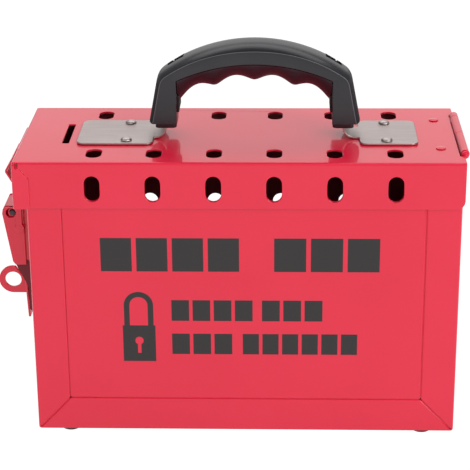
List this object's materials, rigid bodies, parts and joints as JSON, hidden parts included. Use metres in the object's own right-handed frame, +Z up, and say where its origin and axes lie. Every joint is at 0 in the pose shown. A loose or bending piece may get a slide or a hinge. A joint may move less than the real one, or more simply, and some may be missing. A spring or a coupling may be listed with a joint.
{
  "type": "group lockout box",
  "caption": "Portable red steel lockout box: hinged lid ringed with padlock slots, draw latch with a padlock eye at one end, black carrying handle on top.",
  "frame": {"origin": "middle of the overall length and depth, on the plane of the feet's soles", "axes": "+X along the box from the latch end to the hinge end, +Y from the front to the rear panel with the wall holes, +Z up"},
  "size_m": [0.2536, 0.0982, 0.209],
  "materials": {
    "red_paint": "glossy powder coat",
    "steel": "brushed",
    "handle_plastic": "satin moulded",
    "rubber": "matte"
  },
  "bodies": {
    "box": {"body_wrap": "red_paint", "front_panel": "red_paint", "rear_panel": "red_paint", "foot_front_left": "rubber", "foot_front_right": "rubber", "foot_rear_left": "rubber", "foot_rear_right": "rubber", "hinge_wall_leaf": "red_paint", "hinge_pin": "red_paint", "hinge_wall_rivet_front": "red_paint", "hinge_wall_rivet_rear": "red_paint", "latch_base": "red_paint", "latch_base_rivet_upper": "red_paint", "latch_base_rivet_front": "red_paint", "latch_base_rivet_rear": "red_paint", "latch_pivot_pin": "steel"},
    "cover": {"lid": "red_paint", "hinge_lid_leaf": "red_paint", "hinge_lid_rivet_front": "red_paint", "hinge_lid_rivet_rear": "red_paint", "keeper": "red_paint", "keeper_rivet_front": "red_paint", "keeper_rivet_rear": "red_paint", "handle_bracket_left": "steel", "handle_bracket_right": "steel", "handle_rivet_left_front": "steel", "handle_rivet_left_rear": "steel", "handle_rivet_right_front": "steel", "handle_rivet_right_rear": "steel", "handle_shell": "handle_plastic", "handle_grip": "handle_plastic", "handle_boot_left": "handle_plastic", "handle_boot_right": "handle_plastic"},
    "lever": {"latch_lever": "red_paint", "claw_rivet_front": "red_paint", "claw_rivet_rear": "red_paint"},
    "claw": {"latch_claw": "red_paint"}
  },
  "joints": [
    {"name": "lid_hinge", "type": "hinge", "parent": "box", "child": "cover", "pos_m": [0.12445, 0, 0.1567], "axis": [0, 1, 0], "range_deg": [0, 215]},
    {"name": "lever_pivot", "type": "hinge", "parent": "box", "child": "lever", "pos_m": [-0.11545, 0, 0.1154], "axis": [0, 1, 0], "range_deg": [0, 120]},
    {"name": "claw_pivot", "type": "hinge", "parent": "lever", "child": "claw", "pos_m": [-0.11175, 0, 0.107], "axis": [0, 1, 0], "range_deg": [-144, 0]}
  ],
  "couplings": [
    {"joint": "claw_pivot", "follows": "lever_pivot", "ratio": -1.2}
  ]
}
